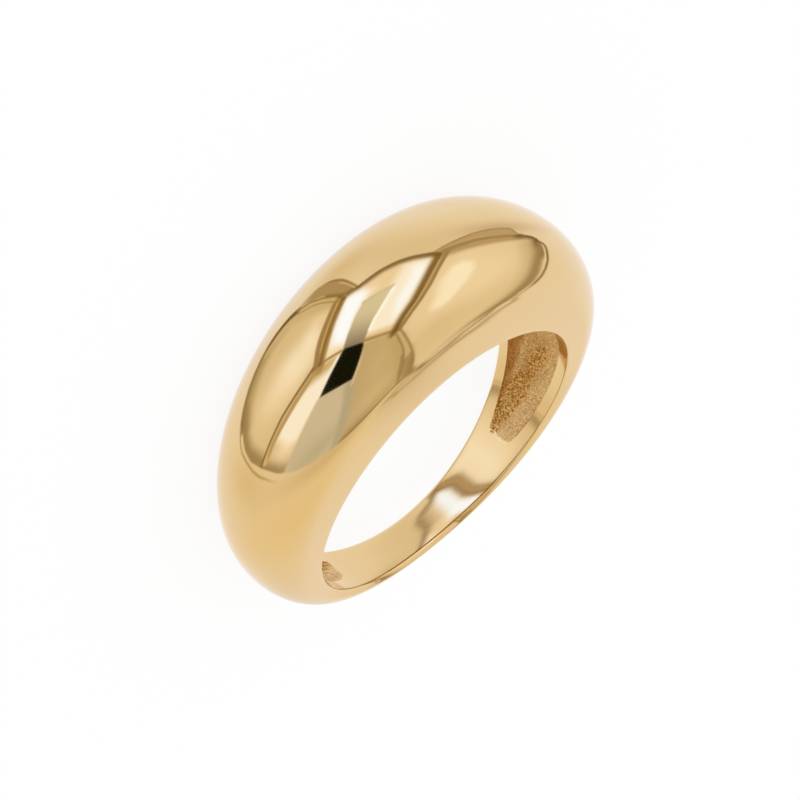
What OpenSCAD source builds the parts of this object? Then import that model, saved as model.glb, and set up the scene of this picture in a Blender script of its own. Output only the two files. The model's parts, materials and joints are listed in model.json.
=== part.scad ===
// Dome ring: one cast and polished piece, wide and high on one side and slim on the other,
// hollow under the dome. It lies on its side and leans onto the two points that carry it.
// The ring is worked out round its finger axis first, and laid down at the end.

/* [Finger hole] */
// Length round the finger hole
finger_girth = 54; // [44:0.5:70]

/* [Dome] */
// Height of the dome above the finger hole
dome_height = 5.65; // [3.5:0.05:8]
// Widest width of the dome, along the finger
dome_width = 7.8; // [5:0.1:12]
// How far the dome's edge at the finger hole lies in from its widest line
dome_inset = 0.35; // [0.13:0.01:0.6]
// Height of the dome's widest line, as a share of the dome's height
dome_belly = 0.63; // [0.3:0.01:0.8]

/* [Shank] */
// Thickness of the shank opposite the dome
shank_thickness = 0.8; // [0.6:0.05:2]
// Widest width of the shank opposite the dome
shank_width = 2.55; // [1.8:0.05:5]
// How far the shank's edge at the finger hole lies in from its widest line
shank_inset = 0.3; // [0.13:0.01:0.5]
// Height of the shank's widest line, as a share of its thickness
shank_belly = 0.3; // [0.25:0.01:0.8]

/* [Sides] */
// How far the edge at the finger hole lies in halfway between dome and shank
side_inset = 0.13; // [0.13:0.01:0.5]
// How soon the width falls from dome to shank: a larger number falls sooner
width_fall = 1.8; // [1:0.1:3]
// How soon the widest line drops towards the finger hole
belly_fall = 6; // [2:0.5:10]

/* [Edges and hollow] */
// Size of the softened edge between the outside and the finger hole
edge_size = 0.12; // [0.05:0.01:0.13]
// Thickness of the metal over the hollow at the top of the dome
dome_wall = 1.3; // [0.8:0.05:2]
// Width of the polished lip on each side of the hollow
lip_width = 0.5; // [0.3:0.05:0.8]
// Angle round from the top of the dome where the hollow runs out into the shank
hollow_reach = 138; // [100:1:150]
// Squareness of the hollow's section: 2 is an ellipse, a larger number is squarer
hollow_squareness = 6; // [2:0.5:8]

/* [Hidden] */

sections = 90;
dome_steps = 22;
side_steps = 3;
hollow_sections = 70;
hollow_steps = 14;
hole_facets = 180;
// The finger hole is cut in this many round strokes, each this far off the axis towards its own
// side, so that every stretch of lip keeps a round wall of its own
hole_strokes = 12;
stroke_offset = 0.01;
// The outside is closed this far inside the finger hole, which the hole's cylinder cuts off
outside_depth = 0.25;
// The hollow starts this far inside the finger hole, and runs on past its reach by this angle
hollow_depth = 1.5;
hollow_runout = 5;
// Leans that the search for the resting place tries, in degrees
leans = [0 : 0.1 : 25];

finger_radius = finger_girth / (2 * PI);
// Seen along the finger the outline is a circle, set off towards the dome
outline_radius = finger_radius + (dome_height + shank_thickness) / 2;
outline_offset = (dome_height - shank_thickness) / 2;

// Angles run round the finger axis from the top of the dome
angles = [for (i = [0 : sections - 1]) i * 360 / sections];
hollow_end = hollow_reach + hollow_runout;
hollow_angles = [for (i = [0 : hollow_sections]) hollow_end * (2 * i / hollow_sections - 1)];

// How near an angle is to the top of the dome: 1 there and 0 at the shank
function dome_part(angle) = abs(cos(angle / 2));

// Distance of the outline from the finger axis
function outline(angle) =
    outline_offset * cos(angle)
    + sqrt(pow(outline_radius, 2) - pow(outline_offset * sin(angle), 2));

// Half of the ring's widest width
function half_width(angle) =
    shank_width / 2 + (dome_width - shank_width) / 2 * pow(dome_part(angle), width_fall);

// Distance of the widest line from the finger axis
function belly(angle) =
    let (share = shank_belly + (dome_belly - shank_belly) * pow(dome_part(angle), belly_fall))
    finger_radius + max(share * (outline(angle) - finger_radius), edge_size);

// Half of the width at the finger hole
function edge_half(angle) = half_width(angle) - inset(angle);
function inset(angle) =
    let (end = cos(angle) > 0 ? dome_inset : shank_inset)
    side_inset + (end - side_inset) * pow(cos(angle), 2);

// A section's points are [distance from the finger axis, place along it].
// One side of the outside, from the softened edge up to the widest line
function side_profile(angle) =
    let (start = finger_radius + edge_size,
         rise = belly(angle) - start,
         lean_in = inset(angle) - edge_size)
    [for (i = [0 : side_steps - 1])
        let (share = i / side_steps)
        [start + rise * share, half_width(angle) - lean_in * (1 - sin(90 * share))]];

// The top of the outside: half an ellipse from one widest line to the other
function top_profile(angle) =
    let (low = belly(angle), rise = outline(angle) - low)
    [for (i = [0 : dome_steps])
        let (turn = 180 * i / dome_steps)
        [low + rise * sin(turn), half_width(angle) * cos(turn)]];

// The same points on the other side, in reverse
function mirrored(points) = [for (i = [len(points) - 1 : -1 : 0]) [points[i][0], -points[i][1]]];

// The whole outside, closed at a depth inside the finger hole
function outer_profile(angle, depth) =
    let (foot = [[finger_radius - depth, edge_half(angle) - depth]],
         side = side_profile(angle))
    concat(foot, side, top_profile(angle), mirrored(side), mirrored(foot));

// Height of the hollow's roof above the finger hole, which falls to nothing at the reach
function roof(angle) =
    (dome_height - dome_wall) * (cos(angle) - cos(hollow_reach)) / (1 - cos(hollow_reach));

// The hollow's section: a rounded box from inside the finger hole up to the roof
function hollow_profile(angle) =
    let (foot = finger_radius - hollow_depth,
         rise = hollow_depth + roof(angle),
         half = edge_half(angle) - lip_width,
         power = 2 / hollow_squareness)
    [for (i = [0 : hollow_steps])
        let (turn = 180 * i / hollow_steps)
        [foot + rise * pow(sin(turn), power), half * sign(cos(turn)) * pow(abs(cos(turn)), power)]];

// A section's point in space: the finger axis is Z and the dome points to -Y
function placed(point, angle) = [point[0] * sin(angle), -point[0] * cos(angle), point[1]];

// Two triangles for each four-sided patch between two neighbouring sections
function patches(rows, row_ends, points) =
    [for (i = [0 : rows - 1], j = [0 : points - 1])
        let (k = (j + 1) % points,
             row = i * points,
             next = ((i + 1) % row_ends) * points)
        each [[row + j, next + k, row + k], [row + j, next + j, next + k]]];

// A loft that runs all the way round
module closed_loft(profiles, places) {
    points = len(profiles[0]);
    polyhedron(
        [for (i = [0 : len(places) - 1]) each [for (p = profiles[i]) placed(p, places[i])]],
        patches(len(places), len(places), points)
    );
}

// A loft between two flat ends
module open_loft(profiles, places) {
    points = len(profiles[0]);
    last = (len(places) - 1) * points;
    polyhedron(
        [for (i = [0 : len(places) - 1]) each [for (p = profiles[i]) placed(p, places[i])]],
        concat(
            patches(len(places) - 1, len(places), points),
            [[for (j = [0 : points - 1]) j]],
            [[for (j = [points - 1 : -1 : 0]) last + j]]
        )
    );
}

function sum(list) = list * [for (i = list) 1];

// A section's moment about the finger axis: order 1 gives its weight, 2 its pull to one side
function moment(points, order) =
    let (count = len(points))
    sum([for (i = [0 : count - 1])
        let (p = points[i],
             q = points[(i + 1) % count],
             twice_area = p[0] * q[1] - q[0] * p[1])
        order == 1
            ? (p[0] + q[0]) * twice_area / 6
            : (p[0] * p[0] + p[0] * q[0] + q[0] * q[0]) * twice_area / 12]);

// The metal's moment: the outside less what the hollow takes out beyond the finger hole
function metal(angle, order) =
    moment(outer_profile(angle, 0), order)
    - moment([for (p = hollow_profile(angle)) [max(p[0], finger_radius), p[1]]], order);

// How far the centre of weight lies from the finger axis, towards the dome
balance = sum([for (a = angles) metal(a, 2) * cos(a)]) / sum([for (a = angles) metal(a, 1)]);

// The side that the ring lies on, as [how far out, how far towards the dome]
side_points = [for (a = angles) each [for (p = concat(side_profile(a), [[belly(a), half_width(a)]]))
    [p[1], p[0] * cos(a)]]];

// The ring comes to rest at the lean where its centre of weight is lowest
function balance_height(lean) =
    max([for (p = side_points) p[0] * cos(lean) - (p[1] - balance) * sin(lean)]);
heights = [for (lean = leans) balance_height(lean)];
lowest = min(heights);
rest_lean = [for (lean = leans) if (balance_height(lean) == lowest) lean][0];

// The leaned outside's reach along Y and Z, which sets it down at the middle of its own box
leaned_points = [for (a = angles) each [for (p = outer_profile(a, 0))
    let (q = placed(p, a))
    [q[1] * cos(rest_lean) + q[2] * sin(rest_lean), q[2] * cos(rest_lean) - q[1] * sin(rest_lean)]]];
leaned_y = [for (q = leaned_points) q[0]];
leaned_z = [for (q = leaned_points) q[1]];

module outside() {
    closed_loft([for (a = angles) outer_profile(a, outside_depth)], angles);
}

module finger_hole() {
    for (i = [0 : hole_strokes - 1])
        rotate([0, 0, i * 360 / hole_strokes])
        translate([0, -stroke_offset, 0])
        cylinder(
            r = finger_radius - stroke_offset,
            h = 2 * dome_width + 2 * shank_width,
            center = true,
            $fn = hole_facets
        );
}

module hollow() {
    open_loft([for (a = hollow_angles) hollow_profile(a)], hollow_angles);
}

module dome_ring() {
    color([0.87, 0.72, 0.44])
    translate([0, -(min(leaned_y) + max(leaned_y)) / 2, -min(leaned_z)])
    rotate([-rest_lean, 0, 0])
    difference() {
        outside();
        finger_hole();
        hollow();
    }
}

dome_ring();
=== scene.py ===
import math

import bpy
import numpy as np
from mathutils import Matrix, Vector
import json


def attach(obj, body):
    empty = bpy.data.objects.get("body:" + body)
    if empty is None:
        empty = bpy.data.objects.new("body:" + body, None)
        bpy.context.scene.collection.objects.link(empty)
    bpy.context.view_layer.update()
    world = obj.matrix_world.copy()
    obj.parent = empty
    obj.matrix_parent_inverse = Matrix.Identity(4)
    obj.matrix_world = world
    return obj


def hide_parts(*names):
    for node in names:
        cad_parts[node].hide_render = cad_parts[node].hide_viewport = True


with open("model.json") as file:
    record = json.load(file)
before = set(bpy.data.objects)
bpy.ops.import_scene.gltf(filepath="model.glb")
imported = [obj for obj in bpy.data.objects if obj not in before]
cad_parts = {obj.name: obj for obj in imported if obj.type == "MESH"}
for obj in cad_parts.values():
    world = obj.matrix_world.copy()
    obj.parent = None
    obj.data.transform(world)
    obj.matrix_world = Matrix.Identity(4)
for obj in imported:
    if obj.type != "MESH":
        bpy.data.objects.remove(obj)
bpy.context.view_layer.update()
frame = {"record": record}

# The camera: a long lens above the floor, rolled over so that the dome rises to the upper left
# of the picture as it does in the photograph. The ring lies on its side before it, leaning onto
# the two points that carry it.
finger_hole = frame["record"]["mounts"][0]
hole_centre = Vector(finger_hole["pos_m"])
hole_axis = Vector(finger_hole["axis"])
lean = math.atan2(hole_axis.y, hole_axis.z)
laid_down = Matrix.Rotation(-lean, 3, "X") @ Matrix(((1, 0, 0), (0, 0, -1), (0, 1, 0)))
# The picture's directions in the ring's own axes: across the finger, along it, and to the dome
picture_right = laid_down @ Vector((-0.72496, 0.68632, -0.05824))
picture_up = laid_down @ Vector((-0.58888, -0.57373, 0.56925))
to_camera = picture_right.cross(picture_up).normalized()
picture_right = picture_up.cross(to_camera).normalized()
camera_distance = 0.4
# The middle of the picture lies this far from the finger hole's centre
aim_right = -0.000536
aim_up = 0.001669
camera_data = bpy.data.cameras.new("camera")
camera_data.lens = 352.7
camera_data.sensor_width = 36
camera_data.clip_start = 0.01
camera_data.clip_end = 10
camera = bpy.data.objects.new("camera", camera_data)
bpy.context.scene.collection.objects.link(camera)
eye = hole_centre + to_camera * camera_distance
aim = hole_centre + picture_right * aim_right + picture_up * aim_up
back = (eye - aim).normalized()
right = (picture_right - back * picture_right.dot(back)).normalized()
camera_turn = Matrix((right, back.cross(right), back)).transposed()
camera.matrix_world = Matrix.Translation(eye) @ camera_turn.to_4x4()
bpy.context.scene.camera = camera

# The ring: one hollow steel casting, polished outside and on the lips and the shank's inner
# wall, left sandy as cast under the dome, and coated gold all over. Geometry nodes bend a flat
# grid into it: one way goes round the finger, and the other round the ring's section.
sizes_mm = {
    "Finger girth": 54,
    "Dome height": 5.65,
    "Dome width": 7.8,
    "Dome inset": 0.29,
    "Dome belly": 0.63,
    "Shank thickness": 0.8,
    "Shank width": 2.44,
    "Shank inset": 0.18,
    "Shank belly": 0.3,
    "Side inset": 0.11,
    "Width fall": 1.8,
    "Belly fall": 6,
    "Edge size": 0.1,
    "Dome wall": 1.3,
    "Lip width": 0.56,
    "Wall rounding": 0.047,
    "Rounded band": 0.75,
    "Hollow reach": math.radians(138),
    "Hollow squareness": 6,
    "Hollow depth": 1.5,
    "Grain size": 0.2,
    "Grain height": 0.055,
    "Grain start": 0.15,
    "Coarse band place": -0.8,
    "Coarse band drift": 0.5,
    "Coarse band reach": 0.65,
    "Coarse band depth": 1.5,
}
steps_round = 520
steps = {"top": 25, "side": 8, "edge": 8, "lip": 8, "hollow": 46}
half_steps = sum(steps.values())

tree = bpy.data.node_groups.new("Dome ring", "GeometryNodeTree")
tree.is_modifier = True
tree.interface.new_socket("Geometry", in_out="INPUT", socket_type="NodeSocketGeometry")
tree.interface.new_socket("Geometry", in_out="OUTPUT", socket_type="NodeSocketGeometry")
size_sockets = {
    name: tree.interface.new_socket(name, in_out="INPUT", socket_type="NodeSocketFloat")
    for name in sizes_mm
}
size_sockets["Lean"] = tree.interface.new_socket(
    "Lean", in_out="INPUT", socket_type="NodeSocketFloat")
size_sockets["Place"] = tree.interface.new_socket(
    "Place", in_out="INPUT", socket_type="NodeSocketVector")
given = tree.nodes.new("NodeGroupInput")


class Sum:
    """A node's output that takes part in a sum as a number does."""

    def __init__(self, socket):
        self.socket = socket

    def __add__(self, other):
        return reckon("ADD", self, other)

    def __radd__(self, other):
        return reckon("ADD", other, self)

    def __sub__(self, other):
        return reckon("SUBTRACT", self, other)

    def __rsub__(self, other):
        return reckon("SUBTRACT", other, self)

    def __mul__(self, other):
        return reckon("MULTIPLY", self, other)

    def __rmul__(self, other):
        return reckon("MULTIPLY", other, self)

    def __truediv__(self, other):
        return reckon("DIVIDE", self, other)

    def __rtruediv__(self, other):
        return reckon("DIVIDE", other, self)

    def __pow__(self, other):
        return reckon("POWER", self, other)


def put(value, slot):
    if isinstance(value, Sum):
        tree.links.new(value.socket, slot)
    else:
        slot.default_value = value


def reckon(operation, *values):
    node = tree.nodes.new("ShaderNodeMath")
    node.operation = operation
    for slot, value in zip(node.inputs, values):
        put(value, slot)
    return Sum(node.outputs[0])


def cosine(angle):
    return reckon("COSINE", angle)


def sine(angle):
    return reckon("SINE", angle)


def share_of(first, count):
    """How far a point has come through the steps that start at first: 0 before, 1 after."""
    share = (step - first) / count
    return reckon("MINIMUM", reckon("MAXIMUM", share, 0), 1)


def curve(start, corner, end, share):
    """A quadratic curve that leaves start and reaches end in line with the corner."""
    rest = 1 - share
    return rest * rest * start + 2 * rest * share * corner + share * share * end


def later(first, later_value, earlier_value):
    """One value up to a step, and another past it."""
    past = reckon("GREATER_THAN", step, first - 0.5)
    return earlier_value + past * (later_value - earlier_value)


def size(name):
    return Sum(given.outputs[name])


grid = tree.nodes.new("GeometryNodeMeshGrid")
grid.inputs["Size X"].default_value = 1
grid.inputs["Size Y"].default_value = 2
grid.inputs["Vertices X"].default_value = steps_round + 1
grid.inputs["Vertices Y"].default_value = 2 * half_steps + 1
grid_place = tree.nodes.new("GeometryNodeInputPosition")
split = tree.nodes.new("ShaderNodeSeparateXYZ")
tree.links.new(grid_place.outputs[0], split.inputs[0])
# The angle runs round the finger from the top of the dome, with its steps closest at the sides,
# where the hollow shows. The step runs from the outside of the dome, over one side and through
# the finger hole, to the roof of the hollow.
crowding = 0.14
even_angle = Sum(split.outputs["X"]) * (2 * math.pi)
angle = even_angle + crowding * sine(even_angle * 2)
side = reckon("SIGN", Sum(split.outputs["Y"]))
step = reckon("ROUND", reckon("ABSOLUTE", Sum(split.outputs["Y"])) * half_steps)

finger_radius = size("Finger girth") / (2 * math.pi)
outline_radius = finger_radius + (size("Dome height") + size("Shank thickness")) / 2
outline_offset = (size("Dome height") - size("Shank thickness")) / 2
sideways = outline_offset * sine(angle)
outline = outline_offset * cosine(angle) + reckon(
    "SQRT", outline_radius * outline_radius - sideways * sideways)
dome_part = reckon("ABSOLUTE", cosine(angle / 2))
half_shank = size("Shank width") / 2
half_width = half_shank + (size("Dome width") / 2 - half_shank) * dome_part ** size("Width fall")
belly_share = size("Shank belly") + (
    size("Dome belly") - size("Shank belly")) * dome_part ** size("Belly fall")
edge_size = size("Edge size")
belly = finger_radius + reckon("MAXIMUM", belly_share * (outline - finger_radius), edge_size)
at_dome = reckon("GREATER_THAN", cosine(angle), 0)
end_inset = size("Shank inset") + at_dome * (size("Dome inset") - size("Shank inset"))
inset = size("Side inset") + (end_inset - size("Side inset")) * cosine(angle) ** 2
edge_half = half_width - inset

# Half an ellipse over the top
first = 0
turn = (1 - share_of(first, steps["top"])) * (math.pi / 2)
out = belly + (outline - belly) * sine(turn)
along = half_width * cosine(turn)
# The side, from the widest line down to the softened edge
first += steps["top"]
share = 1 - share_of(first, steps["side"])
edge_out = finger_radius + edge_size
side_rise = belly - edge_out
lean_in = inset - edge_size
out = later(first, edge_out + side_rise * share, out)
along = later(first, half_width - lean_in * (1 - sine(share * (math.pi / 2))), along)
# The softened edge rolls over into the finger hole
first += steps["side"]
share = share_of(first, steps["edge"])
least_rise = 0.02
steepest_slope = 3
edge_slope = reckon(
    "MINIMUM", lean_in * (math.pi / 2) / reckon("MAXIMUM", side_rise, least_rise), steepest_slope)
corner_along = edge_half + edge_size - edge_slope * edge_size
wall_start = corner_along - edge_size
wall_foot = finger_radius + size("Wall rounding") * size("Rounded band") ** 3
foot_rise = 3 * size("Wall rounding") * size("Rounded band") ** 2 * edge_size
out = later(first, curve(edge_out, wall_foot + foot_rise, wall_foot, share), out)
along = later(first, curve(edge_half + edge_size, corner_along, wall_start, share), along)
# The polished lip runs in to the hollow. A square-shouldered ellipse makes the hollow's
# section, and where it would lie inside the finger hole there is shank wall.
first += steps["edge"]
reach_fall = 1 - cosine(size("Hollow reach"))
roof = (size("Dome height") - size("Dome wall")) * (
    cosine(angle) - cosine(size("Hollow reach"))) / reach_fall
hollow_half = edge_half - size("Lip width")
hollow_rise = size("Hollow depth") + roof
squareness = size("Hollow squareness")
foot_share = size("Hollow depth") / reckon("MAXIMUM", hollow_rise, size("Hollow depth"))
mouth_share = reckon("MAXIMUM", 1 - foot_share ** squareness, 0) ** (1 / squareness)
latest_mouth = math.radians(50)
mouth_turn = reckon("MINIMUM", reckon("ARCTAN2", foot_share, mouth_share), latest_mouth)
hollow_share = share_of(first + steps["lip"], steps["hollow"])
turn = mouth_turn + (math.pi / 2 - mouth_turn) * hollow_share
bulk = (cosine(turn) ** squareness + sine(turn) ** squareness) ** (1 / squareness)
hollow_along = hollow_half * cosine(turn) / bulk
hollow_out = finger_radius - size("Hollow depth") + hollow_rise * sine(turn) / bulk
mouth_bulk = (cosine(mouth_turn) ** squareness + sine(mouth_turn) ** squareness) ** (
    1 / squareness)
mouth_along = hollow_half * cosine(mouth_turn) / mouth_bulk
share = (1 - cosine(share_of(first, steps["lip"]) * math.pi)) / 2
lip_along = wall_start + (mouth_along - wall_start) * share
on_wall = reckon("GREATER_THAN", step, first - 0.5)
rounded = reckon("MAXIMUM", lip_along - wall_start + size("Rounded band"), 0)
out = later(first, finger_radius + size("Wall rounding") * rounded ** 3, out)
along = later(first, lip_along, along)
first += steps["lip"]
out = later(first + 1, hollow_out, out)
along = later(first + 1, hollow_along, along)
in_hollow = reckon("GREATER_THAN", step, first + 0.5)

# Sand grains roughen the hollow, and leave a ragged end where it runs out into the shank. They
# stand taller in a band of coarser grit along one side.
smooth = tree.nodes.new("ShaderNodeCombineXYZ")
put(out * sine(angle), smooth.inputs["X"])
put(out * cosine(angle) * -1, smooth.inputs["Y"])
put(along * side, smooth.inputs["Z"])
grains = tree.nodes.new("ShaderNodeTexNoise")
grains.noise_dimensions = "3D"
tree.links.new(smooth.outputs[0], grains.inputs["Vector"])
put(1 / size("Grain size"), grains.inputs["Scale"])
grains.inputs["Detail"].default_value = 1.5
grains.inputs["Roughness"].default_value = 0.6
jolt = tree.nodes.new("ShaderNodeSeparateXYZ")
tree.links.new(grains.outputs["Color"], jolt.inputs[0])
smooth_depth = reckon("MAXIMUM", (out - finger_radius) * in_hollow, 0)
band_middle = size("Coarse band place") + size("Coarse band drift") * smooth_depth
off_band = reckon("ABSOLUTE", along * side - band_middle) / size("Coarse band reach")
band_end = reckon("MAXIMUM", 1 - smooth_depth / size("Coarse band depth"), 0)
coarse = reckon("MAXIMUM", 1 - off_band, 0) * reckon("MINIMUM", band_end * 2, 1) * in_hollow
grown = reckon("MINIMUM", smooth_depth / size("Grain start"), 1)
coarse_height = 1.6
grain_height = size("Grain height") * 2 * in_hollow * (grown + coarse * (coarse_height - grown))
rough_out = out + grain_height * (Sum(jolt.outputs["X"]) - 0.5)
depth = reckon("MAXIMUM", (rough_out - finger_radius) * in_hollow, 0)
rough_out = out + in_hollow * (finger_radius + depth - out)
full_jolt_depth = 0.12
started = reckon("MINIMUM", depth / full_jolt_depth, 1)
rough_along = along * side + grain_height * started * (Sum(jolt.outputs["Y"]) - 0.5)
# The depth of the cast skin is kept for the material: 0 on the polished wall and -1 outside it
cast_depth = depth + on_wall - 1

shaped = tree.nodes.new("ShaderNodeCombineXYZ")
put(rough_out * sine(angle), shaped.inputs["X"])
put(rough_out * cosine(angle) * -1, shaped.inputs["Y"])
put(rough_along, shaped.inputs["Z"])
marked = grid
for name, value in (("cast_depth", cast_depth), ("coarse_band", coarse)):
    store = tree.nodes.new("GeometryNodeStoreNamedAttribute")
    store.data_type = "FLOAT"
    store.domain = "POINT"
    store.inputs["Name"].default_value = name
    tree.links.new(marked.outputs[0], store.inputs["Geometry"])
    put(value, store.inputs["Value"])
    marked = store
bent = tree.nodes.new("GeometryNodeSetPosition")
tree.links.new(marked.outputs[0], bent.inputs["Geometry"])
tree.links.new(shaped.outputs[0], bent.inputs["Position"])
joined = tree.nodes.new("GeometryNodeMergeByDistance")
nearest_points = 0.0005
joined.inputs["Distance"].default_value = nearest_points
tree.links.new(bent.outputs[0], joined.inputs["Geometry"])
# The polished wall breaks off sharply at the cast skin
stored_depth = tree.nodes.new("GeometryNodeInputNamedAttribute")
stored_depth.data_type = "FLOAT"
stored_depth.inputs["Name"].default_value = "cast_depth"
bend = tree.nodes.new("GeometryNodeInputMeshEdgeAngle")
least_bend = math.radians(9)
hardly_deep = 0.0005
bent_there = reckon("GREATER_THAN", Sum(bend.outputs["Unsigned Angle"]), least_bend)
at_wall = reckon(
    "LESS_THAN", reckon("ABSOLUTE", Sum(stored_depth.outputs["Attribute"])), hardly_deep)
sharp = bent_there * at_wall
creased = tree.nodes.new("GeometryNodeSetShadeSmooth")
creased.domain = "EDGE"
creased.inputs["Shade Smooth"].default_value = False
tree.links.new(joined.outputs[0], creased.inputs["Geometry"])
tree.links.new(sharp.socket, creased.inputs["Selection"])
shaded = tree.nodes.new("GeometryNodeSetShadeSmooth")
tree.links.new(creased.outputs[0], shaded.inputs["Geometry"])
laid = tree.nodes.new("GeometryNodeTransform")
metres_in_a_mm = 0.001
laid.inputs["Scale"].default_value = [metres_in_a_mm] * 3
tree.links.new(shaded.outputs[0], laid.inputs["Geometry"])
tree.links.new(given.outputs["Place"], laid.inputs["Translation"])
tilt = tree.nodes.new("ShaderNodeCombineXYZ")
put(size("Lean") * -1, tilt.inputs["X"])
tree.links.new(tilt.outputs[0], laid.inputs["Rotation"])
realized = tree.nodes.new("GeometryNodeRealizeInstances")
tree.links.new(laid.outputs[0], realized.inputs["Geometry"])
coated = tree.nodes.new("GeometryNodeSetMaterial")
tree.links.new(realized.outputs[0], coated.inputs["Geometry"])
result = tree.nodes.new("NodeGroupOutput")
tree.links.new(coated.outputs[0], result.inputs["Geometry"])

gold = bpy.data.materials.new("polished_gold_coat")
gold.use_nodes = True
metal = gold.node_tree.nodes["Principled BSDF"]
metal.inputs["Metallic"].default_value = 1


def fill(slot, value):
    if isinstance(value, bpy.types.NodeSocket):
        gold.node_tree.links.new(value, slot)
    else:
        slot.default_value = value


def gold_node(kind, **settings):
    """A node of the gold's material, with its sockets and properties set by name."""
    node = gold.node_tree.nodes.new(kind)
    for name, value in settings.items():
        if name in node.inputs:
            fill(node.inputs[name], value)
        else:
            setattr(node, name, value)
    return node


def grain(scale, detail, roughness=0.5):
    return gold_node(
        "ShaderNodeTexNoise", Vector=place, Scale=scale, Detail=detail,
        Roughness=roughness).outputs["Fac"]


def spread(value, from_low, from_high, to_low=0, to_high=1, easing="LINEAR"):
    """The value's range from_low to from_high, stretched to run from to_low to to_high."""
    node = gold_node("ShaderNodeMapRange", interpolation_type=easing)
    fill(node.inputs["Value"], value)
    node.inputs["From Min"].default_value = from_low
    node.inputs["From Max"].default_value = from_high
    node.inputs["To Min"].default_value = to_low
    node.inputs["To Max"].default_value = to_high
    return node.outputs[0]


def times(first, second):
    node = gold_node("ShaderNodeMath", operation="MULTIPLY")
    fill(node.inputs[0], first)
    fill(node.inputs[1], second)
    return node.outputs[0]


def mixed(share, low, high, kind="FLOAT"):
    """Low where the share is 0 and high where it is 1, of numbers, or of colours for RGBA."""
    low_slot, high_slot, result = {"FLOAT": (2, 3, 0), "RGBA": (6, 7, 2)}[kind]
    node = gold_node("ShaderNodeMix", data_type=kind)
    fill(node.inputs[0], share)
    fill(node.inputs[low_slot], low)
    fill(node.inputs[high_slot], high)
    return node.outputs[result]


place = gold_node("ShaderNodeTexCoord").outputs["Object"]
depth_mm = gold_node("ShaderNodeAttribute", attribute_name="cast_depth").outputs["Fac"]
coarse_band = gold_node("ShaderNodeAttribute", attribute_name="coarse_band").outputs["Fac"]
# Noise from fine to broad, with the scales in features to the metre
skin = grain(16000, 4, 0.65)
specks = grain(11000, 2)
blotches = grain(900, 2)
grit = grain(9000, 2, 0.6)
wear = grain(400, 5, 0.6)

# The cast skin is speckled, starts raggedly at the polished wall and has the coarse grit in it
in_band = spread(
    times(coarse_band, spread(blotches, 0.35, 0.6, 0.4, 1.8)), 0.03, 0.4, easing="SMOOTHSTEP")
ragged_depth = times(depth_mm, spread(specks, 0.38, 0.62, 0.1, 2))
fine_start = spread(ragged_depth, 0.001, 0.02, easing="SMOOTHSTEP")
grit_start = spread(ragged_depth, 0.001, 0.01, easing="SMOOTHSTEP")
as_cast = mixed(in_band, fine_start, grit_start)
blotch_share = 0.2
speckle = spread(mixed(blotch_share, specks, blotches), 0.38, 0.6)
grit_speckle = spread(grit, 0.42, 0.62)

polished = (0.775, 0.546, 0.242, 1)
darkest_cast = (0.58, 0.31, 0.09, 1)
palest_cast = (0.92, 0.66, 0.29, 1)
darkest_grit = (0.42, 0.17, 0.02, 1)
palest_grit = (0.9, 0.6, 0.2, 1)
fine_colour = mixed(speckle, darkest_cast, palest_cast, "RGBA")
grit_colour = mixed(grit_speckle, darkest_grit, palest_grit, "RGBA")
cast_colour = mixed(in_band, fine_colour, grit_colour, "RGBA")
fill(metal.inputs["Base Color"], mixed(as_cast, polished, cast_colour, "RGBA"))

# The outside is glossy, the inner wall and the lips are satin, and the cast skin is dull
gloss = spread(wear, 0.35, 0.65, 0.035, 0.065)
satin = spread(wear, 0.35, 0.65, 0.1, 0.14)
fine_dullness = spread(skin, 0.3, 0.7, 0.35, 0.55)
grit_dullness = spread(grit, 0.4, 0.65, 0.5, 0.34)
inside_hole = spread(depth_mm, -0.6, -0.4)
polish = mixed(inside_hole, gloss, satin)
dull = mixed(in_band, fine_dullness, grit_dullness)
fill(metal.inputs["Roughness"], mixed(as_cast, polish, dull))

bump = gold_node("ShaderNodeBump", Distance=0.00003, Strength=as_cast, Height=skin)
fill(metal.inputs["Normal"], bump.outputs[0])
coated.inputs["Material"].default_value = gold

ring = bpy.data.objects.new("dome_ring_gold", bpy.data.meshes.new("dome_ring_blank"))
bpy.context.scene.collection.objects.link(ring)
shaping = ring.modifiers.new("Dome ring", "NODES")
shaping.node_group = tree
for name, value in sizes_mm.items():
    shaping[size_sockets[name].identifier] = float(value)
shaping[size_sockets["Lean"].identifier] = lean
shaping[size_sockets["Place"].identifier] = tuple(hole_centre)
finished = ring.evaluated_get(bpy.context.evaluated_depsgraph_get())
plain_mesh = bpy.data.meshes.new_from_object(finished)
ring.modifiers.remove(shaping)
ring.data = plain_mesh
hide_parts("dome_ring")
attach(ring, "root")

# The floor: a wide white table top that the ring lies on. It is lit softly from beneath as
# well, so that it stays pale under the ring.
floor_reach = 2
floor_corners = [(x * floor_reach, y * floor_reach, 0) for x, y in ((-1, -1), (1, -1), (1, 1), (-1, 1))]
floor_mesh = bpy.data.meshes.new("floor")
floor_mesh.from_pydata(floor_corners, [], [(0, 1, 2, 3)])
floor = bpy.data.objects.new("floor", floor_mesh)
bpy.context.scene.collection.objects.link(floor)
table_top = bpy.data.materials.new("pale_table_top")
table_top.use_nodes = True
table_coat = table_top.node_tree.nodes["Principled BSDF"]
lit_from_beneath = 0.88
table_coat.inputs["Base Color"].default_value = [1 - lit_from_beneath] * 3 + [1]
table_coat.inputs["Roughness"].default_value = 1
table_coat.inputs["Specular IOR Level"].default_value = 0
table_coat.inputs["Emission Color"].default_value = (1, 1, 1, 1)
table_coat.inputs["Emission Strength"].default_value = lit_from_beneath
floor_mesh.materials.append(table_top)
floor.visible_glossy = False

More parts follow.
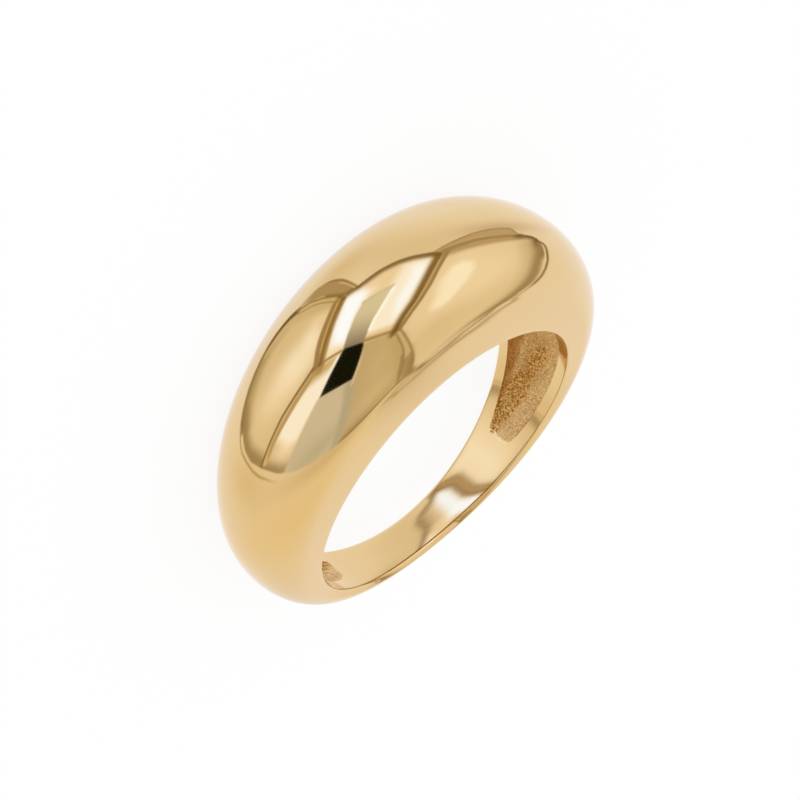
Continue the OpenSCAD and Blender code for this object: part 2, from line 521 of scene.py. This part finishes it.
# The light tent: a shell whose glow is painted in as emission, standing for white cloth walls lit
# from outside, with dark seams, painted shade along the walls' edges and the lens in a slit. Only
# the ring's own reflections show it. A place on it is two angles from the lens, in degrees at the
# finger hole's centre: towards the picture's right, and towards its top.
fine_reach = 122
fine_step = 0.5
far_reach = 179
far_step = 3
ticks = np.concatenate([
    np.arange(-far_reach, -fine_reach, far_step),
    np.arange(-fine_reach, fine_reach, fine_step),
    np.arange(fine_reach, far_reach + far_step, far_step)])
across, above = np.meshgrid(ticks, ticks)
# What each place glows with, at first the same all over
plain_cloth = (1.02, 1.04, 1.14)
glow = np.ones(across.shape + (3,)) * plain_cloth


def eased(share):
    share = np.clip(share, 0, 1)
    return share * share * (3 - 2 * share)


def beside(line):
    """Degrees from each place to a line of places: above 0 on the line's right."""
    best = np.full(across.shape, 1e9)
    for (x0, y0), (x1, y1) in zip(line[:-1], line[1:]):
        dx, dy = x1 - x0, y1 - y0
        share = np.clip(((across - x0) * dx + (above - y0) * dy) / (dx * dx + dy * dy), 0, 1)
        off = np.hypot(across - x0 - share * dx, above - y0 - share * dy)
        right = (across - x0) * dy - (above - y0) * dx > 0
        best = np.where(off < np.abs(best), np.where(right, off, -off), best)
    return best


def inside(outline, soft):
    """1 inside an outline and 0 outside it, with an edge that is soft degrees wide."""
    closed = outline + outline[:1]
    within = np.zeros(across.shape, bool)
    for (x0, y0), (x1, y1) in zip(closed[:-1], closed[1:]):
        crosses = (y0 > above) != (y1 > above)
        rise = (y1 - y0) or 1
        within ^= crosses & (across < x0 + (above - y0) * (x1 - x0) / rise)
    return eased(0.5 + np.where(within, 1, -1) * np.abs(beside(closed)) / soft)


def cloth(level):
    """The colour of white cloth lit to a level: cream in shade, and bluer as lamps shine through."""
    if isinstance(level, tuple):
        return np.array(level)
    over = max(level - 1, 0)
    under = max(1 - level, 0)
    red = 1 - under + 0.29 * (1 - math.exp(-over / 0.3))
    green = level * (1 - 0.22 * under)
    blue = level * (1.05 - 0.7 * under) + over + 2.6 * over ** 3
    return np.array((red, green, blue))


# Paints a level of glow into the tent's emission where the mask is: painted light and shade
def paint_glow(mask, level):
    glow[:] += mask[..., None] * (cloth(level) - glow)


def panel(level, soft, outline):
    paint_glow(inside(outline, soft), level)


def glow_line(level, width, soft, line, right_soft=None, tail=0):
    """A line of painted glow that is width wide, and fades over soft degrees on its left and
    right_soft on its right, and over tail degrees towards its end: the cloth's seams, bright rims,
    and bands of painted shade beside the seams."""
    off = beside(line)
    fade = np.where(off > 0, soft if right_soft is None else right_soft, soft)
    mask = 1 - eased((np.abs(off) - width / 2) / fade)
    if tail:
        mask = mask * eased(np.hypot(across - line[-1][0], above - line[-1][1]) / tail)
    paint_glow(mask, level)


def glow_spot(level, x, y, wide, high, lean=0):
    """A soft spot of painted glow, turned clockwise by lean degrees: brighter than the cloth
    where a lamp shines through it, and darker where its level is low.
    """
    turn_by = math.radians(lean)
    u = (across - x) * math.cos(turn_by) - (above - y) * math.sin(turn_by)
    v = (across - x) * math.sin(turn_by) + (above - y) * math.cos(turn_by)
    paint_glow(np.exp(-(u / wide) ** 2 - (v / high) ** 2), level)


# The far walls: bluer at the upper left, and duller close round the doorway
glow_spot((1.02, 1.14, 1.58), -84, 86, 75, 60, -45)
glow_spot((0.92, 0.91, 0.92), -49, -157, 110, 35)
glow_spot((1.03, 1.13, 1.45), -8, 118, 36, 14)
glow_spot((0.93, 0.92, 0.96), 0, 79, 34, 16, 8)
glow_spot((0.9, 0.88, 0.88), -45, 80, 24, 14, -25)
glow_spot((0.76, 0.73, 0.76), 54, 93, 30, 8, -8)
glow_spot((0.99, 0.94, 0.84), 0, -86, 110, 28)
glow_spot((0.84, 0.77, 0.68), 12, -60, 60, 9, 4)
glow_spot((0.75, 0.7, 0.62), 86, -74, 16, 6, 38)
glow_spot((0.92, 0.87, 0.8), -80, -42, 30, 14, 38)
around = glow.copy()

# The left wall
panel(0.9, 6, [
    (-38, 58), (-74, 62), (-94, 52), (-109, 33), (-111, 5), (-90, -26), (-65, -38), (-54, -6),
    (-41, 14)])
glow_spot(0.94, -70, -4, 16, 22, 35)
glow_spot(1.14, -65, 8, 17, 12, -35)
glow_spot(1.33, -56, 21, 14, 12, -30)
glow_spot(1.33, -48, 33, 8, 15, 15)
glow_spot(1.05, -43, 46, 5, 9)
# Painted shade in soft bands along the wall's edges
glow_line(0.55, 3, 16, [(-86, 54), (-94, 46), (-99, 33), (-101, 19), (-101, 6), (-98, -3)], 4)
glow_line(0.8, 2, 8, [(-94, 45), (-86, 50), (-74, 55), (-55, 56), (-40, 54)])
glow_line(0.46, 4, 9, [(-100, 6), (-94, -11), (-85, -23), (-67, -35)])
# The right wall
panel(0.97, 4, [
    (22, 74), (46, 80), (74, 81), (89, 75), (98, 53), (107, 8), (105, -39), (94, -79), (56, -35),
    (8, 19)])
glow_spot(1.13, 56, 44, 26, 30)
glow_spot(1.16, 34, 43, 16, 30)
panel((1.24, 1.42, 1.95), 7, [
    (24, 31), (24, 44), (26, 52), (30, 60), (36, 63), (43, 61), (46, 55), (45, 45), (40, 29),
    (36, 25), (29, 26)])
glow_spot(1.05, 21, 30, 6, 16, 12)
glow_spot(0.92, 47, -1, 14, 20, -40)
glow_spot(0.94, 62, -24, 14, 22, -30)
# Painted shade along the wall's top and in a broad band down its outer edge
glow_line((0.62, 0.54, 0.43), 1.5, 1.5, [(24, 73), (35, 76), (45, 78), (60, 80), (73, 81)], 5)
glow_line(0.78, 2, 16, [(101, -64), (103, -36), (103, -6), (101, 16), (97, 38), (91, 58), (84, 74)], 5)
glow_line(0.46, 1, 8, [(103, -62), (104, -30), (103, 0), (101, 20), (97, 42), (93, 62), (88, 74)], 6)
# The floor in front of the lens: a pale strip at its left, a grey one in the middle and a dull
# one at its right
panel(0.84, 3, [(-39, 14), (-24, 20), (-25, -3), (-35, -26), (-39, -49), (-68, -36), (-58, -12)])
panel((0.7, 0.66, 0.6), 2, [
    (-12, 22), (6, 20), (12, 15), (26, -4), (46, -32), (56, -46), (76, -63), (91, -80), (40, -64),
    (-3, -57), (-20, -8)])
glow_spot((0.82, 0.76, 0.68), 26, -33, 14, 20, -25)
glow_spot((0.76, 0.72, 0.66), 8, 0, 8, 18, -15)
glow_spot((0.62, 0.57, 0.51), 28, -52, 18, 7)
# Painted shade beside the floor's seams and above its far edge
glow_line((0.7, 0.63, 0.5), 1, 7, [(14, 12), (30, -10), (50, -38), (60, -49)], 7, 14)
glow_line((0.46, 0.4, 0.3), 1, 9, [(29, -9), (43, -30), (60, -50), (66, -56)], 1, 18)
glow_line((0.46, 0.38, 0.25), 1, 7, [(78, -65), (70, -60), (52, -59), (25, -57), (12, -55)], 6, 14)
glow_spot((0.74, 0.68, 0.52), -36, 12, 7, 4)
glow_spot(1.2, -45, -29, 11, 9, 20)
panel(1.47, 7, [
    (-42, 4), (-34, 8), (-27, 12), (-27, 3), (-29, -6), (-37, -28), (-44, -28), (-55, -22), (-55, -16),
    (-50, -7)])
glow_line(0.46, 1, 8, [(-66, -36), (-48, -44), (-34, -49)])
panel((0.79, 0.85, 1.06), 2.5, [
    (-30, -4), (-9, -3), (-7, -8), (4, -29), (17, -56), (-12, -54), (-41, -49), (-36, -28)])
glow_spot((0.66, 0.72, 0.84), -10, -45, 26, 12, -5)
glow_line((0.6, 0.66, 0.78), 2, 5, [(-9, -6), (-6, -13), (3.5, -34), (14, -55)])
# The wall round the lens, with lamps behind both its halves
panel(1.08, 2, [
    (-35, 54), (-27, 58), (-18, 64), (-9, 68), (0, 71), (9, 71.5), (18, 71), (13, 55), (7, 32), (6, 22),
    (-12, 22), (-24, 20), (-36, 17), (-36, 33)])
panel(1.4, 12, [(-34, 56), (-24, 57), (-15, 56), (-20, 45), (-23, 23), (-35, 19), (-36, 34)])
panel(1.76, 7, [
    (-32, 52), (-29, 55), (-22, 56), (-19, 54), (-23, 38), (-23, 25), (-32, 26), (-34, 34)])
panel(1.48, 8, [(-13, 26), (-9, 40), (-5, 56), (-1, 68), (14, 71), (13, 59), (8, 38), (5, 26)])
panel(1.7, 8, [(2, 33), (1, 44), (4, 55), (6, 66), (13, 66), (12, 58), (9, 47), (5, 35)])
glow_line((1.02, 1.02, 1.12), 1, 4, [(-12, 23), (-4, 24), (5, 24)])
slit = [(-24, 21), (-24, 29), (-22.5, 41), (-20, 48), (-14, 51), (-4, 55), (-8, 43), (-11, 31), (-12, 21)]
panel((0.87, 0.96, 1.16), 1.4, slit)
glow_line((0.8, 0.88, 1.06), 0.2, 1.3, [(-20, 48), (-14, 51), (-4, 55)])
# Painted shade: the slit grows darker towards its bottom, by the lens
paint_glow(inside(slit, 1.4) * eased((44 - above) / 27), (0.3, 0.3, 0.34))
glow_line((1.28, 1.7, 2.9), 0.5, 0.7, [(-11, 29), (-10, 35), (-4, 53)], 2.4)
# Its edges, where seams join it to the side walls, with painted shade beside the seams
glow_line((0.3, 0.24, 0.15), 1, 4, [
    (20, 72), (14, 73), (4, 73), (-5, 71.5), (-14, 68), (-23, 62), (-28, 59.5), (-34, 56)], 1.6)
glow_spot((0.2, 0.14, 0.06), -27, 60, 2.4, 1.6, 30)
glow_line((0.56, 0.47, 0.33), 6, 1.6, [
    (-37.5, 14), (-38, 20), (-38.3, 30), (-37.8, 40), (-36.5, 48), (-35.4, 54)], 1.4)
glow_line((0.45, 0.36, 0.26), 1.8, 1.4, [
    (-39.5, 14), (-40, 19), (-41.2, 25), (-41.5, 32), (-41, 38), (-40, 45), (-38.6, 53)])
glow_line((0.34, 0.25, 0.11), 1, 0.8, [
    (-37, 17), (-37.6, 24), (-37.5, 30), (-37, 38), (-35.8, 47), (-34.3, 54)], 1.6)
glow_line((0.72, 0.62, 0.45), 0.4, 0.6, [(-39, 24), (-39.2, 30), (-38.6, 40), (-37, 52)])
glow_line((0.5, 0.41, 0.3), 0.8, 1, [(-37, 16), (-33, 18), (-25, 20.5)])
glow_line((0.52, 0.44, 0.31), 0.9, 0.8, [(7.5, 21), (-1, 21.7), (-12, 22)], 2.6)
glow_line((0.58, 0.5, 0.38), 4.5, 3, [
    (9, 20), (10.5, 26), (12, 32), (14.8, 40), (16.5, 50), (18.2, 60), (21, 72)], 2)
glow_line((0.3, 0.22, 0.11), 1.6, 5, [
    (8, 20.5), (8.8, 28), (9.8, 32), (12.8, 40), (14.7, 50), (16.6, 60), (19.2, 71)], 0.6)
glow_line((0.42, 0.34, 0.23), 0.9, 0.8, [
    (10.5, 21), (13, 30), (16.4, 40), (19.2, 50), (20.6, 60), (23, 70), (24, 74)], 1.5)
glow_line((0.68, 0.61, 0.5), 0.4, 0.7, [(11.4, 30), (14.6, 40), (16.9, 50), (18.7, 60), (20, 67)])
glow_spot((0.25, 0.17, 0.06), 8, 22, 2, 4)
glow_spot((0.25, 0.17, 0.06), 18, 72, 3, 1.6)
glow_spot((0.28, 0.2, 0.08), -34, 54.5, 1.6, 1.4)
glow_spot((0.28, 0.2, 0.09), -37, 16.5, 1.6, 1.4)
# The floor's edges, with painted shade beside them
glow_line((0.84, 0.76, 0.6), 2.4, 2, [(-41, 9), (-47, 0), (-58, -20), (-63, -33)])
glow_line((0.62, 0.53, 0.4), 1, 2, [(-39, 12), (-47, -1), (-55, -15), (-59, -23), (-62, -35)], None, 8)
glow_line((0.32, 0.25, 0.14), 0.7, 1.2, [
    (-41, 15), (-44, 10), (-50, 1), (-56, -8), (-62, -21), (-65, -29), (-67, -35)], 1.4)
panel(0.78, 1.4, [(9, 19), (17, 9), (26, -3), (36, -17), (39, -14), (27, 2), (17, 14), (12, 19)])
panel((0.58, 0.55, 0.45), 3, [
    (36, -14), (46, -30), (56, -44), (66, -54), (79, -64), (79, -61), (66, -48), (44, -20), (38, -12)])
glow_line((0.46, 0.38, 0.26), 0.5, 7, [(96, -76), (88, -71), (66, -48), (46, -22), (33, -5)], 1, 30)
glow_line((0.45, 0.38, 0.28), 0.3, 0.9, [
    (9, 19), (17, 9), (26.5, -3.5), (36, -17.5), (46, -32.5), (56, -46), (66, -56), (76, -64)])
glow_line((0.42, 0.35, 0.25), 0.3, 0.9, [
    (12, 20), (26.5, 2.5), (36, -9.5), (46, -22.5), (66, -48.5), (77, -60.5), (88, -71), (95, -76)])
# The camera's black lens in the slit, with a bright rim of cloth each side
glow_line(1.5, 0.8, 1.8, [(-25.5, 17), (-28, 8.5), (-30, 1), (-31.5, -5)])
glow_line((0.86, 0.84, 0.9), 0.4, 1.2, [(-7, -7), (-8, 0), (-10, 17)], None, 8)
panel((0.01, 0.012, 0.008), 1.2, [
    (-24, 20.5), (-23, 21.5), (-12, 21.5), (-11, 20), (-10, 12), (-9, 0), (-9, -3), (-14, -3.5),
    (-29.5, -5.5), (-29, -0.5), (-27.5, 7), (-26, 13)])
# The doorway's outline: nothing of the inner walls shows beyond it
doorway = inside([
    (-27, 60), (-33, 57), (-40, 57), (-46, 59), (-64, 60.5), (-72, 62), (-78, 62), (-84, 59.5),
    (-90, 56), (-95, 50), (-99, 43), (-102, 34), (-104, 23), (-103.5, 10), (-102, 0), (-97, -4),
    (-94, -11), (-89, -19), (-80, -28), (-66, -36), (-48, -44.5), (-30, -50), (-12, -53), (6, -55),
    (30, -58.5), (45, -60), (66, -60), (74, -62), (82, -67), (90, -74), (95, -77), (102, -71), (105, -63),
    (105, -40), (107, -6), (106, 12), (104, 30), (101, 48), (98, 58), (95, 66), (90, 79), (87, 83),
    (82, 85.5), (71, 86), (55, 85), (41, 83), (31, 80), (22, 75), (9, 74.5), (0, 74), (-9, 71.5),
    (-18, 67)], 1.2)
glow[:] = around + doorway[..., None] * (glow - around)
# Its dark edge, with painted shade along its inner side, broad at the upper corners and doubled by a hem
# down both sides
glow_line((0.4, 0.33, 0.22), 1, 3.4, [
    (-98.5, -4), (-101, 4), (-102.5, 13), (-102.5, 25), (-101, 34), (-98.5, 42), (-94.5, 49), (-90, 54)], 5)
glow_line((0.3, 0.22, 0.12), 1.6, 4, [
    (-72, 61), (-78, 60), (-84, 57), (-89, 53.5), (-94, 48.5), (-98.5, 43)], 3.4, 10)
glow_line((0.24, 0.17, 0.08), 1.4, 2.4, [(-86, 56.5), (-80, 59.5), (-73, 61)], 3)
glow_line((0.42, 0.35, 0.23), 0.7, 1.2, [
    (-73, 61), (-60, 61.3), (-50, 60), (-40, 57.6), (-36, 56.5)], 0.8)
glow_line((0.8, 0.7, 0.53), 0.4, 0.8, [(-69, 59.3), (-58, 59.4), (-50, 58.5), (-45, 57), (-40, 55.7)])
glow_line((0.52, 0.44, 0.3), 0.3, 0.8, [(-70, 57.5), (-58, 57.8), (-50, 56.8), (-45, 55.4), (-40, 54.2)])
glow_line((0.47, 0.4, 0.3), 2, 3, [(21, 74), (30, 77.5), (40, 80.5), (50, 82), (60, 83), (72, 84)], 1.5)
glow_line((0.24, 0.18, 0.09), 0.8, 1, [(71, 84.5), (77, 84), (82, 83), (86, 80.5), (89, 77), (91, 73)], 7)
glow_line((0.2, 0.14, 0.07), 1, 1.6, [(87, 76), (89, 74)])
glow_line((0.42, 0.35, 0.25), 1, 1.6, [(90, 74), (93, 68.5), (96, 61), (98.5, 52), (100.5, 42)], 5, 14)
glow_line((0.34, 0.27, 0.17), 1, 1.1, [
    (90, 76.5), (93, 74.5), (96, 70.5), (98.5, 65), (102.5, 52), (104.5, 44), (107, 27), (108.5, 8),
    (108.5, -10), (107.5, -39)], None, 30)
glow_line((0.62, 0.53, 0.39), 0.4, 0.9, [
    (108, -20), (107, -48), (107, -56), (108, -64), (104, -72), (96, -79), (92, -80.5), (80, -74),
    (67, -68)], None, 16)
glow_line((0.42, 0.34, 0.23), 0.4, 0.7, [(105, -39), (105, -60), (103.5, -68), (99.5, -74), (95, -76.5)])
# Flaps outside the doorway
flap = inside([
    (-28, 60), (-32, 63.3), (-37, 66.7), (-41, 69), (-46, 71), (-52, 72), (-61, 72), (-72, 66), (-74, 62),
    (-64, 62), (-55, 62), (-46, 60.5), (-37, 58), (-30, 58)], 1.6)
paint_glow(flap * eased((across + 80) / 20), (0.53, 0.46, 0.37))
glow_line((0.38, 0.3, 0.17), 0.6, 1.6, [(-48, 60.5), (-37, 57.5), (-33, 57.5), (-28, 59.7)], 1)
glow_line((0.36, 0.28, 0.15), 0.4, 0.8, [
    (-27, 59.8), (-31, 62.8), (-35, 65.7), (-40, 68.8), (-46, 71), (-52, 72), (-61, 72.4)], 1.2, 12)
glow_line((0.86, 0.78, 0.62), 0.3, 0.6, [(-28.5, 60), (-33, 63), (-37, 65.5), (-44, 68.3)], None, 6)
glow_spot((0.28, 0.2, 0.09), -36.5, 56.2, 2.2, 0.8)
panel((0.64, 0.57, 0.47), 1.6, [
    (18, 76), (23, 79.5), (27, 82), (32, 85), (37, 87), (46, 90), (55, 92), (61, 93), (64, 91), (70, 85),
    (55, 85), (41, 83.5), (31, 80.5), (23, 77)])
glow_line((0.46, 0.38, 0.26), 0.4, 0.9, [
    (15, 74), (20, 77.8), (25, 81), (30, 83.8), (37, 87.5), (46, 90.5), (55, 92.3), (62, 92.5), (65, 90.5),
    (70, 85)])
glow_spot((0.26, 0.18, 0.08), 13, 73.2, 2.2, 1)
glow_line((0.6, 0.5, 0.35), 0.5, 1.1, [
    (-100.5, -2), (-99, -8), (-96, -14), (-93, -19), (-85, -27), (-76, -35), (-67, -41), (-48, -50),
    (-38, -53.5)], None, 34)

# The cloth's places in space, on a ball round the finger hole's centre
off_lens = np.hypot(across, above)
turned = np.radians(off_lens)
spread_out = np.sin(turned) / np.maximum(off_lens, 1e-9)
way = (
    np.cos(turned)[..., None] * np.array(to_camera)
    + (across * spread_out)[..., None] * np.array(picture_right)
    + (above * spread_out)[..., None] * np.array(picture_up))
tent_radius = 0.11
points = np.array(hole_centre) + tent_radius * way
count = len(ticks)
first_corner = (np.arange(count - 1)[:, None] * count + np.arange(count - 1)).ravel()
corners = np.stack(
    [first_corner, first_corner + 1, first_corner + count + 1, first_corner + count], axis=1)
# The ball is closed at 180 degrees from the lens, so the grid's corners beyond are left out
corners = corners[(off_lens.ravel()[corners] < 180).all(axis=1)]
tent_mesh = bpy.data.meshes.new("light_tent")
tent_mesh.from_pydata(points.reshape(-1, 3).tolist(), [], corners.tolist())
glow_colours = tent_mesh.color_attributes.new("glow", "FLOAT_COLOR", "POINT")
opaque = np.ones(across.shape)
glow_colours.data.foreach_set("color", np.dstack([glow, opaque]).ravel())
tent = bpy.data.objects.new("light_tent", tent_mesh)
bpy.context.scene.collection.objects.link(tent)
tent_cloth = bpy.data.materials.new("lit_tent_cloth")
tent_cloth.use_nodes = True
tent_nodes = tent_cloth.node_tree.nodes
tent_nodes.clear()
tent_colour = tent_nodes.new("ShaderNodeAttribute")
tent_colour.attribute_name = "glow"
tent_light = tent_nodes.new("ShaderNodeEmission")
tent_end = tent_nodes.new("ShaderNodeOutputMaterial")
tent_cloth.node_tree.links.new(tent_colour.outputs["Color"], tent_light.inputs["Color"])
tent_cloth.node_tree.links.new(tent_light.outputs[0], tent_end.inputs["Surface"])
tent_cloth.cycles.emission_sampling = "NONE"
tent_mesh.materials.append(tent_cloth)
tent.visible_camera = False
tent.visible_diffuse = False
tent.visible_transmission = False
tent.visible_shadow = False

# The room: a white studio with soft even light from all round. It lights the floor, and the
# tent hides it from the ring's reflections.
world = bpy.data.worlds.new("studio")
bpy.context.scene.world = world
world.use_nodes = True
studio_light = world.node_tree.nodes["Background"]
studio_light.inputs["Color"].default_value = (1, 1, 1, 1)
studio_light.inputs["Strength"].default_value = 1
bpy.context.scene.view_settings.view_transform = "Standard"
